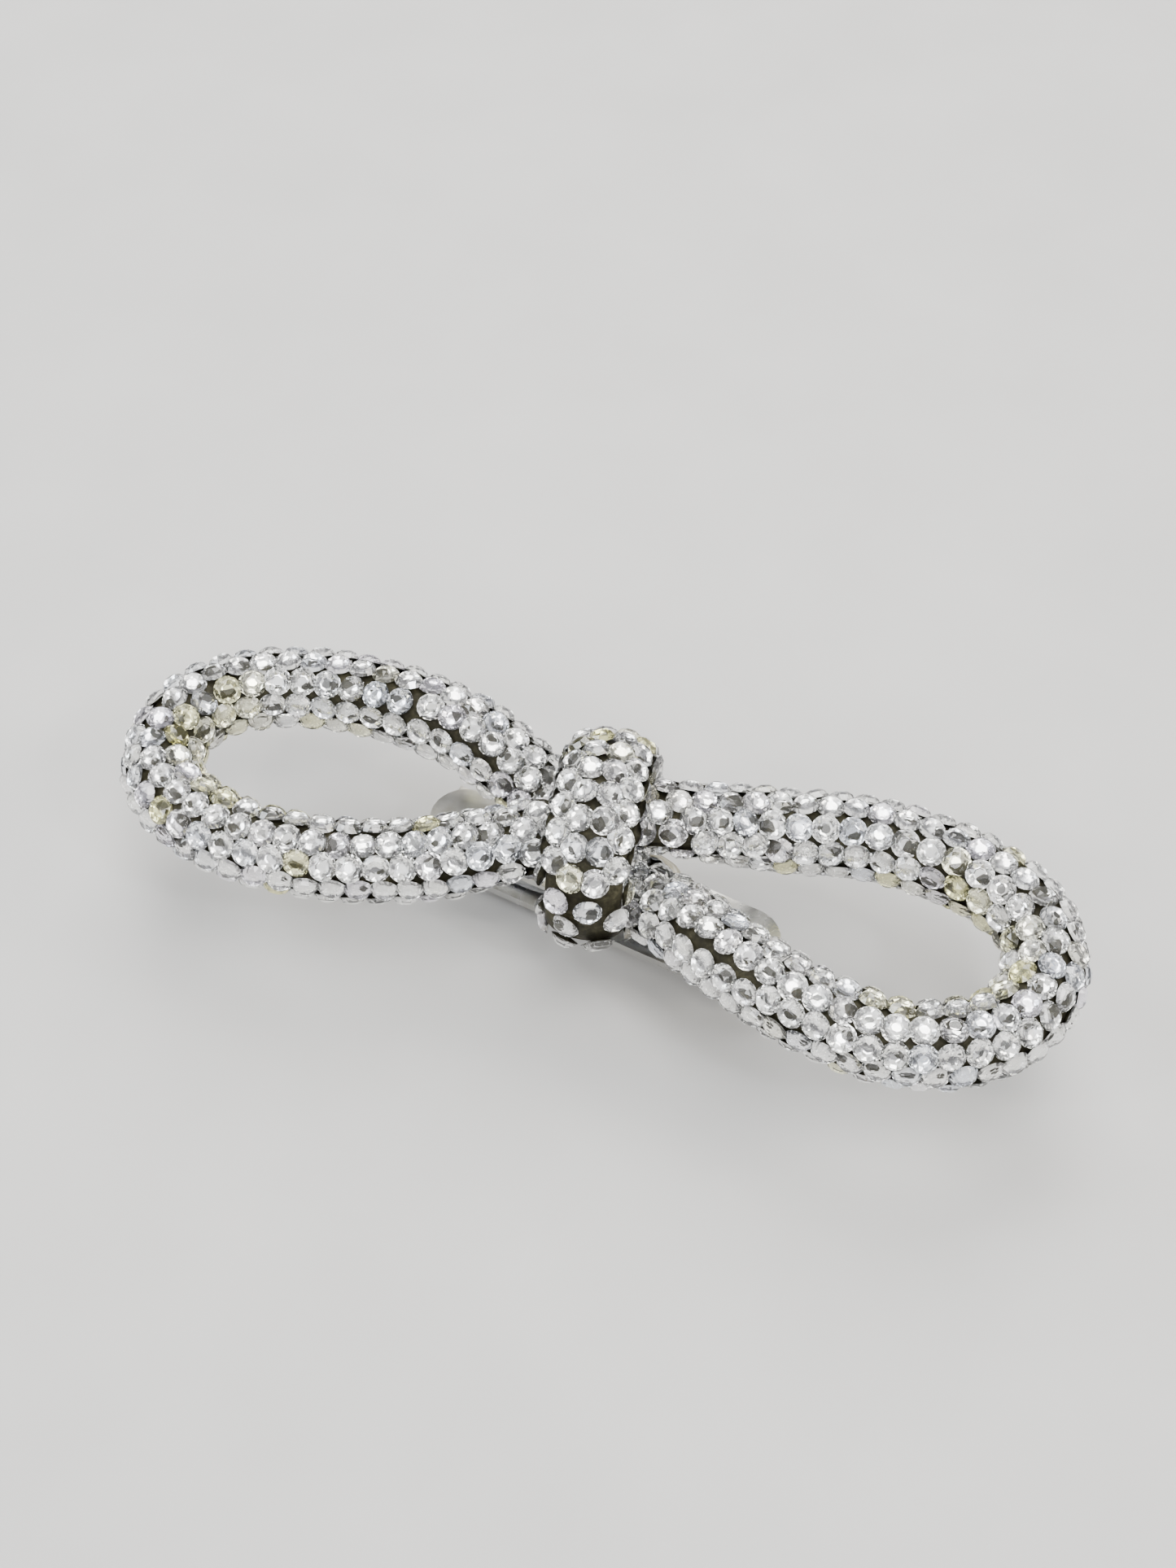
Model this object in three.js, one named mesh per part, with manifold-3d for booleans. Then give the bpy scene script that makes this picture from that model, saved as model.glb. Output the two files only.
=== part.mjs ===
// Hair clip: a figure-eight bow of stone-set rope with a wrapped knot, on a hinged spring barrette.
// Millimetres, +Z up. The bow faces up and the clip lies under it. The bow is drawn about the middle of
// its knot, with X along its length, and the finished object is then stood on the floor at its centre.
import * as THREE from 'three';
import { mergeVertices } from 'three/addons/utils/BufferGeometryUtils.js';
import Module from 'manifold-3d';

// ---- driving dimensions -------------------------------------------------------------------------
const GAP = 0.3;                 // clearance between pieces that rest on or pass through each other

const ROPE_RADIUS = 3.75;        // over the stones
const ROPE_WALL = 1.5;           // stone-set sleeve
const LOOP_LENGTH = 39;          // knot to the middle of a loop's end, along X
const LOOP_HALF_WIDTH = 9.2;     // half the distance between a loop's two strands at its widest
const RIGHT_LOOP_TURN = -6;      // degrees that the right loop hangs towards the near side
const CROSSING_SQUASH = 0.66;    // height of a strand inside the knot, as a share of its free height
const CROSSING_REACH = 13;       // length of rope over which a strand flattens towards the knot
const ROPE_END = 0.4;            // inside the knot, from its middle to the end of a loop's rope

const KNOT_TURN = 5;             // degrees that the knot band leans from straight across
const KNOT_OVERHANG = 4;         // middle of the band's wall, out past the side of one strand
const KNOT_COVER = 3.1;          // thickness of the band over the upper strand
const KNOT_HALF_WIDTH = 4.2;     // along the bow
const KNOT_HALF_WALL = 2.5;

const PAD_LENGTH = 14;
const PAD_WIDTH = 7;
const PAD_THICKNESS = 0.8;

const CLIP_LENGTH = 34;
const CLIP_WIDTH = 6.4;
const CLIP_TURN = -12;           // degrees from the bow's length
const CLIP_OFFSET = 0.8;         // from the knot towards the far side
const PLATE_THICKNESS = 0.8;
const HAIR_GAP = 3.2;            // plate to clasp arm, closed
const ARM_THICKNESS = 0.8;
const NECK_WIDTH = 3.8;          // arm between the hinge ears
const HINGE_INSET = 2.4;         // hinge axis from the plate's end
const HINGE_PIN_RADIUS = 0.6;
const KNUCKLE_RADIUS = 1.25;
const EAR_THICKNESS = 0.7;
const EAR_RADIUS = 1.5;
const RIVET_RADIUS = 0.6;
const RIVET_HEAD_RADIUS = 1.2;
const RIVET_HEAD_HEIGHT = 0.45;

const PRONG_THICKNESS = 0.6;
const PRONG_LENGTH = 3;          // along the clip
const PRONG_TO_RIVET = 3.6;      // prong's middle to the rivet that holds the catch bracket
const PRONG_OFFSET = 1.2;        // prong's middle from the clip's middle line
const PRONG_INSET = 3.6;         // catch's middle from the plate's end
const BARB = 0.35;               // how far a prong's barb stands out
const BRACKET_THICKNESS = 0.6;

const BOW_THICKNESS = 0.4;       // tension bow
const BOW_WIDTH = 4;

// ---- finishes -----------------------------------------------------------------------------------
const { MeshStandardMaterial } = THREE;
const stoneFinish = () => new MeshStandardMaterial({ color: 0xc9c8bf, roughness: 0.25, metalness: 0.3 });
const coreFinish = () => new MeshStandardMaterial({ color: 0x8a8570, roughness: 0.7, metalness: 0.2 });
const nickelFinish = () => new MeshStandardMaterial({ color: 0xb9bab8, roughness: 0.3, metalness: 1 });
const springFinish = () => new MeshStandardMaterial({ color: 0x9c9fa2, roughness: 0.35, metalness: 1 });

// ---- solids -------------------------------------------------------------------------------------
const manifold = await Module();
manifold.setup();

function toSolid(geometry) {
  const merged = geometry.clone();
  merged.deleteAttribute('normal');
  merged.deleteAttribute('uv');
  const welded = mergeVertices(merged, 1e-4);
  const vertProperties = new Float32Array(welded.attributes.position.array);
  const triVerts = new Uint32Array(welded.index.array);
  return new manifold.Manifold(new manifold.Mesh({ numProp: 3, vertProperties, triVerts }));
}

function toGeometry(solid) {
  const mesh = solid.getMesh();
  const geometry = new THREE.BufferGeometry();
  geometry.setAttribute('position', new THREE.BufferAttribute(new Float32Array(mesh.vertProperties), 3));
  geometry.setIndex(new THREE.BufferAttribute(new Uint32Array(mesh.triVerts), 1));
  geometry.computeVertexNormals();
  return geometry;
}

const largestPiece = (solid) => solid.decompose().sort((a, b) => b.volume() - a.volume())[0];

function makeMesh(name, geometry, material) {
  const mesh = new THREE.Mesh(geometry, material);
  mesh.name = name;
  return mesh;
}

function box(length, width, height, x, y, z) {
  return new THREE.BoxGeometry(length, width, height).translate(x, y, z);
}

function rodAlong(axis, radius, length, x, y, z, sides = 28) {
  const rod = new THREE.CylinderGeometry(radius, radius, length, sides);
  if (axis === 'x') rod.rotateZ(Math.PI / 2);
  if (axis === 'z') rod.rotateX(Math.PI / 2);
  return rod.translate(x, y, z);
}

function stadium(length, width) {
  const shape = new THREE.Shape();
  const radius = width / 2;
  const reach = length / 2 - radius;
  shape.moveTo(-reach, -radius);
  shape.lineTo(reach, -radius);
  shape.absarc(reach, 0, radius, -Math.PI / 2, Math.PI / 2, false);
  shape.lineTo(-reach, radius);
  shape.absarc(-reach, 0, radius, Math.PI / 2, 1.5 * Math.PI, false);
  return shape;
}

// A flat piece cut from sheet: its outline in plan, and the height of its under face.
function sheet(shape, thickness, underFace) {
  const options = { depth: thickness, bevelEnabled: false, curveSegments: 8 };
  return new THREE.ExtrudeGeometry(shape, options).translate(0, 0, underFace);
}

// Bends a straight piece that stands on the XZ plane, 0 to length along Y, onto a curve. Its X becomes
// the curve's side and its Z its up. scaleAt gives both scales at a place along it.
function bendAlong(geometry, length, curve, up, scaleAt) {
  const position = geometry.attributes.position;
  const point = new THREE.Vector3();
  for (let i = 0; i < position.count; i++) {
    point.fromBufferAttribute(position, i);
    const share = THREE.MathUtils.clamp(point.y / length, 0, 1);
    const tangent = curve.getTangentAt(share);
    const side = tangent.clone().cross(up).normalize();
    const rise = side.clone().cross(tangent);
    const [wide, tall] = scaleAt(share * length);
    const place = curve.getPointAt(share);
    place.addScaledVector(side, point.x * wide).addScaledVector(rise, point.z * tall);
    position.setXYZ(i, place.x, place.y, place.z);
  }
  return geometry;
}

// ---- the rope's two loops -----------------------------------------------------------------------
// Inside the knot the over strand lies on the under strand, both pressed to this half height.
const PRESSED_RADIUS = ROPE_RADIUS * CROSSING_SQUASH;
const CROSSING_LIFT = PRESSED_RADIUS + GAP;
const UP = new THREE.Vector3(0, 0, 1);
const degrees = THREE.MathUtils.degToRad;
const END_SHARE = ROPE_END / LOOP_LENGTH;

// Each loop is bent by hand, so each has its own outline, from the knot and back. A point is a share of
// the loop's length, a share of its half width, and a share of the crossing's lift. The first strand
// leaves the knot low, on the far side of the left loop and on the near side of the right one.
const LEFT_OUTLINE = [
  [END_SHARE, 0.12, -1], [0.11, 0.4, -1], [0.22, 0.64, -0.62], [0.37, 0.88, -0.1], [0.57, 1.02, 0],
  [0.8, 0.93, 0], [0.96, 0.55, 0], [1.01, 0, 0], [0.96, -0.55, 0], [0.8, -0.9, 0],
  [0.57, -0.92, 0], [0.37, -0.73, 0.1], [0.22, -0.53, 0.62], [0.11, -0.34, 1],
  [END_SHARE, -0.12, 1],
];
const RIGHT_OUTLINE = [
  [END_SHARE, 0.1, -1], [0.11, 0.24, -1], [0.22, 0.45, -0.62], [0.37, 0.78, -0.1], [0.57, 1.05, 0],
  [0.78, 1.06, 0], [0.94, 0.66, 0], [0.995, 0.05, 0], [0.945, -0.55, 0], [0.8, -0.88, 0],
  [0.57, -0.94, 0], [0.37, -0.7, 0.1], [0.22, -0.42, 0.62], [0.11, -0.22, 1],
  [END_SHARE, -0.1, 1],
];

function loopCurve(outline, direction, turn) {
  const points = outline.map(([along, across, lift]) => new THREE.Vector3(
    direction * along * LOOP_LENGTH,
    -direction * across * LOOP_HALF_WIDTH,
    lift * CROSSING_LIFT,
  ));
  points.forEach((point) => point.applyAxisAngle(UP, degrees(turn)));
  return new THREE.CatmullRomCurve3(points, false, 'centripetal');
}

function ropeScale(length) {
  return (along) => {
    const fromKnot = Math.min(along, length - along);
    const free = THREE.MathUtils.smoothstep(fromKnot, 0.3 * CROSSING_REACH, CROSSING_REACH);
    return [1, THREE.MathUtils.lerp(CROSSING_SQUASH, 1, free)];
  };
}

// A length of rope or core from one radius to another, bent onto a loop. An inner radius of 0 is solid.
function ropeAlong(curve, outer, inner, sides) {
  const length = curve.getLength();
  const steps = Math.round(length / (ROPE_RADIUS * 0.65));
  const outside = [];
  const inside = [];
  for (let i = 0; i <= steps; i++) {
    outside.push(new THREE.Vector2(outer, length * i / steps));
    inside.push(new THREE.Vector2(inner, length * (steps - i) / steps));
  }
  const profile = inner > 0
    ? [...outside, ...inside, outside[0]]
    : [new THREE.Vector2(0, 0), ...outside, new THREE.Vector2(0, length)];
  return bendAlong(new THREE.LatheGeometry(profile, sides), length, curve, UP, ropeScale(length));
}

const loops = {
  left: loopCurve(LEFT_OUTLINE, -1, 0),
  right: loopCurve(RIGHT_OUTLINE, 1, RIGHT_LOOP_TURN),
};
const SLEEVE_INNER = ROPE_RADIUS - ROPE_WALL;

const object = new THREE.Group();
const bow = new THREE.Group();
object.add(bow);
for (const [side, curve] of Object.entries(loops)) {
  bow.add(makeMesh(`${side}_loop_rope`, ropeAlong(curve, ROPE_RADIUS, SLEEVE_INNER, 16), stoneFinish()));
  bow.add(makeMesh(`${side}_loop_core`, ropeAlong(curve, SLEEVE_INNER - GAP, 0, 8), coreFinish()));
}

// ---- the knot band ------------------------------------------------------------------------------
// An arch over the crossing, open below, with channels where the strands pass through it.
const KNOT_HALF_SPAN = ROPE_RADIUS + KNOT_OVERHANG;
const KNOT_RISE = CROSSING_LIFT + PRESSED_RADIUS + GAP + KNOT_COVER - KNOT_HALF_WALL;
const STRAND_BOTTOM = -CROSSING_LIFT - PRESSED_RADIUS;
const PAD_TOP = STRAND_BOTTOM - GAP;

function knotBand() {
  const across = new THREE.Vector3(0, 1, 0).applyAxisAngle(UP, degrees(KNOT_TURN));
  const along = new THREE.Vector3(1, 0, 0).applyAxisAngle(UP, degrees(KNOT_TURN));
  const FOOT_ANGLE = 42;
  const points = [];
  for (let angle = -FOOT_ANGLE; angle <= 180 + FOOT_ANGLE; angle += (180 + 2 * FOOT_ANGLE) / 12) {
    const point = across.clone().multiplyScalar(-Math.cos(degrees(angle)) * KNOT_HALF_SPAN);
    point.z = Math.sin(degrees(angle)) * KNOT_RISE;
    points.push(point);
  }
  const curve = new THREE.CatmullRomCurve3(points, false, 'centripetal');
  const length = curve.getLength();
  const bar = new THREE.CylinderGeometry(1, 1, length, 20, 24).translate(0, length / 2, 0);
  const band = toSolid(bendAlong(bar, length, curve, along, () => [KNOT_HALF_WALL, KNOT_HALF_WIDTH]));
  const below = toSolid(box(60, 60, 20, 0, 0, PAD_TOP + GAP - 10));
  let arch = band.subtract(below);
  for (const loop of Object.values(loops)) {
    // The channels of the two loops run on into each other past the rope ends.
    const channel = toSolid(ropeAlong(loop, ROPE_RADIUS + GAP, 0, 16));
    for (const shift of [-2 * ROPE_END, 0, 2 * ROPE_END]) {
      arch = arch.subtract(channel.translate([shift, 0, 0]));
    }
  }
  return largestPiece(arch);
}
bow.add(makeMesh('knot_band', toGeometry(knotBand()), stoneFinish()));

// ---- the barrette -------------------------------------------------------------------------------
// Drawn with its length along X. Heights are from the plate's under face, and the hinge is at -X.
const clip = new THREE.Group();
const PLATE_UNDER = PAD_TOP - PAD_THICKNESS - GAP - PLATE_THICKNESS;
clip.position.set(0, CLIP_OFFSET, PLATE_UNDER);
clip.rotation.z = degrees(CLIP_TURN);
object.add(clip);

const ARM_TOP = -HAIR_GAP;
const ARM_UNDER = ARM_TOP - ARM_THICKNESS;
const HINGE_X = -CLIP_LENGTH / 2 + HINGE_INSET;
const HINGE_Z = (ARM_TOP + ARM_UNDER) / 2;
const CATCH_X = CLIP_LENGTH / 2 - PRONG_INSET;
const CATCH_RIVET_X = CATCH_X - PRONG_TO_RIVET;
const REST_Z = HINGE_Z - EAR_RADIUS;
const RIVET_X = PAD_LENGTH / 2 - 3.2;
const holeFor = (radius, x) => toSolid(rodAlong('z', radius + GAP, 40, x, 0, 0));

function backPlate() {
  const strip = toSolid(sheet(stadium(CLIP_LENGTH, CLIP_WIDTH), PLATE_THICKNESS, 0));
  const earY = CLIP_WIDTH / 2 - EAR_THICKNESS / 2;
  let plate = strip;
  for (const side of [-1, 1]) {
    const drop = PLATE_THICKNESS / 2 - HINGE_Z;
    const web = box(2 * EAR_RADIUS, EAR_THICKNESS, drop, HINGE_X, side * earY, HINGE_Z + drop / 2);
    const tip = rodAlong('y', EAR_RADIUS, EAR_THICKNESS, HINGE_X, side * earY, HINGE_Z, 36);
    plate = plate.add(toSolid(web)).add(toSolid(tip));
  }
  const pinHole = rodAlong('y', HINGE_PIN_RADIUS + GAP, CLIP_WIDTH * 2, HINGE_X, 0, HINGE_Z);
  plate = plate.subtract(toSolid(pinHole));
  for (const x of [-RIVET_X, RIVET_X, CATCH_RIVET_X]) plate = plate.subtract(holeFor(RIVET_RADIUS, x));
  return plate;
}

function mountingPad() {
  const underFace = PLATE_THICKNESS + GAP;
  const pad = toSolid(sheet(stadium(PAD_LENGTH, PAD_WIDTH), PAD_THICKNESS, underFace));
  return pad.subtract(holeFor(RIVET_RADIUS, -RIVET_X)).subtract(holeFor(RIVET_RADIUS, RIVET_X));
}

// A rivet with a head under its lower sheet, and its upper end finished level with the upper sheet.
function rivet(x, underFace, topFace) {
  const profile = [
    new THREE.Vector2(0, underFace - GAP - RIVET_HEAD_HEIGHT),
    new THREE.Vector2(RIVET_HEAD_RADIUS * 0.7, underFace - GAP - RIVET_HEAD_HEIGHT),
    new THREE.Vector2(RIVET_HEAD_RADIUS, underFace - GAP - RIVET_HEAD_HEIGHT * 0.5),
    new THREE.Vector2(RIVET_HEAD_RADIUS, underFace - GAP),
    new THREE.Vector2(RIVET_RADIUS, underFace - GAP),
    new THREE.Vector2(RIVET_RADIUS, topFace),
    new THREE.Vector2(0, topFace),
  ];
  return new THREE.LatheGeometry(profile, 28).rotateX(Math.PI / 2).translate(x, 0, 0);
}

const WINDOW_LENGTH = PRONG_LENGTH + 4 * GAP;
const WINDOW_WIDTH = 2 * (PRONG_OFFSET + PRONG_THICKNESS / 2 + BARB + GAP);
const BOW_REACH = CATCH_X - WINDOW_LENGTH / 2 - 2;
const BOW_RIVET_X = HINGE_X + 5.2;
// The tension bow rises to a gap under the heads of the pad rivets.
const BOW_RISE = HAIR_GAP - GAP - BOW_THICKNESS - (GAP + RIVET_HEAD_HEIGHT) - GAP;

function claspArm() {
  const ARM_END = CATCH_X + WINDOW_LENGTH / 2 + 1;
  const NECK_LENGTH = EAR_RADIUS + 1;
  const half = CLIP_WIDTH / 2;
  const outline = new THREE.Shape();
  outline.moveTo(HINGE_X, -NECK_WIDTH / 2);
  outline.lineTo(HINGE_X + NECK_LENGTH, -NECK_WIDTH / 2);
  outline.lineTo(HINGE_X + NECK_LENGTH + 1, -half);
  outline.lineTo(ARM_END - half / 2, -half);
  outline.absarc(ARM_END - half / 2, -half / 2, half / 2, -Math.PI / 2, 0, false);
  outline.absarc(ARM_END - half / 2, half / 2, half / 2, 0, Math.PI / 2, false);
  outline.lineTo(HINGE_X + NECK_LENGTH + 1, half);
  outline.lineTo(HINGE_X + NECK_LENGTH, NECK_WIDTH / 2);
  outline.lineTo(HINGE_X, NECK_WIDTH / 2);
  const knuckle = toSolid(rodAlong('y', KNUCKLE_RADIUS, NECK_WIDTH, HINGE_X, 0, HINGE_Z, 36));
  const bore = toSolid(rodAlong('y', HINGE_PIN_RADIUS + GAP, CLIP_WIDTH, HINGE_X, 0, HINGE_Z));
  const window = toSolid(box(WINDOW_LENGTH, WINDOW_WIDTH, 10, CATCH_X, 0, HINGE_Z));
  const slotLength = 0.35 * (BOW_REACH - BOW_RIVET_X);
  const slot = toSolid(sheet(stadium(slotLength, 1.6), 10, HINGE_Z - 5).translate(1.5, 0, 0));
  const strip = toSolid(sheet(outline, ARM_THICKNESS, ARM_UNDER));
  const rivetHole = holeFor(RIVET_RADIUS, BOW_RIVET_X);
  return strip.add(knuckle).subtract(bore).subtract(window).subtract(slot).subtract(rivetHole);
}

// A thin spring strip, flat at its riveted end and arched towards the plate.
function tensionBow() {
  const start = BOW_RIVET_X - BOW_WIDTH / 2;
  const flat = BOW_RIVET_X + BOW_WIDTH / 2;
  const span = BOW_REACH - flat;
  const base = ARM_TOP + GAP;
  const profile = new THREE.Shape();
  const STEPS = 16;
  const rise = (share) => base + BOW_RISE * Math.sin(Math.PI * share) ** 2;
  profile.moveTo(start, base);
  for (let i = 0; i <= STEPS; i++) profile.lineTo(flat + span * i / STEPS, rise(i / STEPS));
  for (let i = STEPS; i >= 0; i--) profile.lineTo(flat + span * i / STEPS, rise(i / STEPS) + BOW_THICKNESS);
  profile.lineTo(start, base + BOW_THICKNESS);
  const options = { depth: BOW_WIDTH, bevelEnabled: false };
  const strip = new THREE.ExtrudeGeometry(profile, options).rotateX(Math.PI / 2);
  return toSolid(strip.translate(0, BOW_WIDTH / 2, 0)).subtract(holeFor(RIVET_RADIUS, BOW_RIVET_X));
}

function catchBracket() {
  const start = CATCH_RIVET_X - RIVET_HEAD_RADIUS - GAP;
  const end = CATCH_X + PRONG_LENGTH / 2 + GAP;
  const middle = (start + end) / 2;
  const base = box(end - start, CLIP_WIDTH, BRACKET_THICKNESS, middle, 0, -GAP - BRACKET_THICKNESS / 2);
  return toSolid(base).subtract(holeFor(RIVET_RADIUS, CATCH_RIVET_X));
}

// A springy prong that comes down through the arm's window. It bends at its root, under the bracket.
const PRONG_ROOT = -GAP - BRACKET_THICKNESS - GAP;
function releaseProng(side) {
  const inner = side * (PRONG_OFFSET - PRONG_THICKNESS / 2);
  const outer = side * (PRONG_OFFSET + PRONG_THICKNESS / 2);
  const barbTop = ARM_UNDER - GAP / 2;
  const profile = new THREE.Shape();
  profile.moveTo(inner, PRONG_ROOT);
  profile.lineTo(inner, REST_Z);
  profile.lineTo(outer, REST_Z);
  profile.lineTo(outer + side * BARB, barbTop - 0.3);
  profile.lineTo(outer + side * BARB, barbTop);
  profile.lineTo(outer, barbTop);
  profile.lineTo(outer, PRONG_ROOT);
  const options = { depth: PRONG_LENGTH, bevelEnabled: false };
  const strip = new THREE.ExtrudeGeometry(profile, options);
  return strip.rotateX(Math.PI / 2).rotateZ(Math.PI / 2).translate(CATCH_X - PRONG_LENGTH / 2, 0, 0);
}

const pin = rodAlong('y', HINGE_PIN_RADIUS, CLIP_WIDTH, HINGE_X, 0, HINGE_Z);
const padTop = PLATE_THICKNESS + GAP + PAD_THICKNESS;
const bowFlatTop = ARM_TOP + GAP + BOW_THICKNESS;
const bracketUnder = -GAP - BRACKET_THICKNESS;
clip.add(makeMesh('back_plate', toGeometry(backPlate()), nickelFinish()));
clip.add(makeMesh('mounting_pad', toGeometry(mountingPad()), coreFinish()));
clip.add(makeMesh('left_pad_rivet', rivet(-RIVET_X, 0, padTop), nickelFinish()));
clip.add(makeMesh('right_pad_rivet', rivet(RIVET_X, 0, padTop), nickelFinish()));
clip.add(makeMesh('hinge_pin', pin, nickelFinish()));
clip.add(makeMesh('clasp_arm', toGeometry(claspArm()), nickelFinish()));
clip.add(makeMesh('tension_bow', toGeometry(tensionBow()), springFinish()));
clip.add(makeMesh('bow_rivet', rivet(BOW_RIVET_X, ARM_UNDER, bowFlatTop), nickelFinish()));
clip.add(makeMesh('catch_bracket', toGeometry(catchBracket()), nickelFinish()));
clip.add(makeMesh('catch_rivet', rivet(CATCH_RIVET_X, bracketUnder, PLATE_THICKNESS), nickelFinish()));
clip.add(makeMesh('near_release_prong', releaseProng(-1), springFinish()));
clip.add(makeMesh('far_release_prong', releaseProng(1), springFinish()));

// ---- stand the object on the floor, centred -----------------------------------------------------
const bounds = new THREE.Box3().setFromObject(object, true);
const middle = bounds.getCenter(new THREE.Vector3());
object.position.set(-middle.x, -middle.y, -bounds.min.z);

export default object;
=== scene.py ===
"""A hair clip: a figure-eight bow of stone-set rope with a wrapped knot, on a slim spring barrette."""
import math
import random

import bmesh
import bpy
import numpy as np
from mathutils import Matrix, Vector


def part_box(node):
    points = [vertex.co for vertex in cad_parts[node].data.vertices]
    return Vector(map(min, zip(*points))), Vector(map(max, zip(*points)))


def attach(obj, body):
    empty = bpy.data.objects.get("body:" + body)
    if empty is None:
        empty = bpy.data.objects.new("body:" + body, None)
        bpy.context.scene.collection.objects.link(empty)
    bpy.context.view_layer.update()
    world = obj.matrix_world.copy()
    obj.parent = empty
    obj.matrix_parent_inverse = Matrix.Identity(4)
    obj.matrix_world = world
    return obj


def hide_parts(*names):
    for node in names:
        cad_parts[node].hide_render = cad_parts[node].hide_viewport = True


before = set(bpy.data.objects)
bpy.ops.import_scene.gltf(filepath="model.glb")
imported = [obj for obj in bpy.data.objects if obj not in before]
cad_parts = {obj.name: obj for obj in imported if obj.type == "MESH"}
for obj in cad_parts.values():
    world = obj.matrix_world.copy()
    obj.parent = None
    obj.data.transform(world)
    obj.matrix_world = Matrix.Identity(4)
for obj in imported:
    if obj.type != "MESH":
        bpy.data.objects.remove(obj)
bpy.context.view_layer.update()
MM = 0.001
ROOT = "bow_and_plate"


# ---- Table, light and camera ---------------------------------------------------------------------
# The clip lies face up on a pale table. Five broad soft panels stand round it, and two small lamps give
# the stones their flashes. The camera is set from the knot's middle, and the lights face it.
knot_low, knot_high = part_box("knot_band")
KNOT_TOP = 8.65 * MM
knot_middle = (knot_low + knot_high) / 2
knot_middle.z = knot_high.z - KNOT_TOP


def principled(name, **sockets):
    """A new material with one Principled shader, and its node tree."""
    material = bpy.data.materials.new(name)
    material.use_nodes = True
    tree = material.node_tree
    shader = tree.nodes["Principled BSDF"]
    for socket, value in sockets.items():
        shader.inputs[socket.replace("_", " ")].default_value = value
    return material, tree, shader


def add_node(tree, kind, inputs=(), **settings):
    """A node with its settings, and its inputs linked from sockets or set to values."""
    node = tree.nodes.new(kind)
    for key, value in settings.items():
        setattr(node, key, value)
    for key, value in dict(inputs).items():
        if isinstance(value, bpy.types.NodeSocket):
            tree.links.new(value, node.inputs[key])
        else:
            node.inputs[key].default_value = value
    return node


def colour_ramp(tree, factor, stops):
    """A colour ramp with the given (place, colour) stops."""
    ramp = add_node(tree, "ShaderNodeValToRGB", {"Fac": factor})
    elements = ramp.color_ramp.elements
    while len(elements) < len(stops):
        elements.new(0.5)
    for element, (place, colour) in zip(elements, stops):
        element.position = place
        element.color = (*colour, 1)
    return ramp


def make_piece(name, bm, materials, body=ROOT):
    """Turns a finished bmesh into a piece that rides on a body."""
    mesh = bpy.data.meshes.new(name)
    bm.to_mesh(mesh)
    bm.free()
    for material in materials:
        mesh.materials.append(material)
    piece = bpy.data.objects.new(name, mesh)
    bpy.context.scene.collection.objects.link(piece)
    if body:
        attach(piece, body)
    return piece


table_paint, tree, shader = principled("table_paint", Roughness=0.62)
coordinates = add_node(tree, "ShaderNodeTexCoord").outputs["Object"]
mottle = add_node(tree, "ShaderNodeTexNoise", {"Vector": coordinates, "Scale": 60, "Detail": 4})
ramp = colour_ramp(tree, mottle.outputs["Fac"], [(0.3, (0.43, 0.425, 0.415)), (0.7, (0.46, 0.455, 0.445))])
tree.links.new(ramp.outputs["Color"], shader.inputs["Base Color"])

TABLE_SIZE = 1.6
bm = bmesh.new()
bmesh.ops.create_grid(bm, x_segments=2, y_segments=2, size=TABLE_SIZE)
table = make_piece("table", bm, [table_paint], body=None)

CAMERA_TURN = math.radians(16)
CAMERA_RISE = math.radians(52)
CAMERA_DISTANCE = 193 * MM
AIM_ASIDE = -1.0 * MM
AIM_ABOVE = 4.6 * MM
back = Vector((math.sin(CAMERA_TURN) * math.cos(CAMERA_RISE),
               -math.cos(CAMERA_TURN) * math.cos(CAMERA_RISE),
               math.sin(CAMERA_RISE)))
right = Vector((math.cos(CAMERA_TURN), math.sin(CAMERA_TURN), 0))
above = back.cross(right)
camera_data = bpy.data.cameras.new("camera")
camera_data.lens = 52
camera_data.sensor_width = 36
camera_data.clip_start = 0.01
camera = bpy.data.objects.new("camera", camera_data)
bpy.context.scene.collection.objects.link(camera)
camera_turn = Matrix((right, above, back)).transposed().to_4x4()
camera_place = knot_middle + right * AIM_ASIDE + above * AIM_ABOVE + back * CAMERA_DISTANCE
camera.matrix_world = Matrix.Translation(camera_place) @ camera_turn
bpy.context.scene.camera = camera


def softbox(name, size, power, place, colour=(1, 1, 1)):
    """A square lamp that faces the knot."""
    lamp = bpy.data.lights.new(name, "AREA")
    lamp.size = size
    lamp.energy = power
    lamp.color = colour
    holder = bpy.data.objects.new(name, lamp)
    bpy.context.scene.collection.objects.link(holder)
    holder.location = Vector(place)
    holder.rotation_euler = (holder.location - knot_middle).to_track_quat("Z", "Y").to_euler()


softbox("far_panel", 0.36, 3.6, (-0.08, 0.36, 0.44), (1, 0.99, 0.96))
softbox("overhead_panel", 0.22, 2.0, (0.10, -0.06, 0.58), (1, 0.985, 0.95))
softbox("left_panel", 0.18, 1.5, (-0.46, 0.02, 0.34), (0.90, 0.95, 1))
softbox("right_panel", 0.18, 1.5, (0.46, 0.10, 0.34), (1, 0.95, 0.87))
softbox("near_panel", 0.18, 1.1, (0.02, -0.50, 0.36), (0.98, 0.99, 1))
softbox("left_lamp", 0.04, 0.6, (-0.26, -0.26, 0.34), (1, 0.97, 0.90))
softbox("right_lamp", 0.04, 0.6, (0.30, -0.16, 0.38), (0.92, 0.95, 1))
world = bpy.data.worlds.new("room")
world.use_nodes = True
bpy.context.scene.world = world
tree = world.node_tree
sky = add_node(tree, "ShaderNodeTexCoord").outputs["Generated"]
height = add_node(tree, "ShaderNodeSeparateXYZ", {"Vector": sky}).outputs["Z"]
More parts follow.
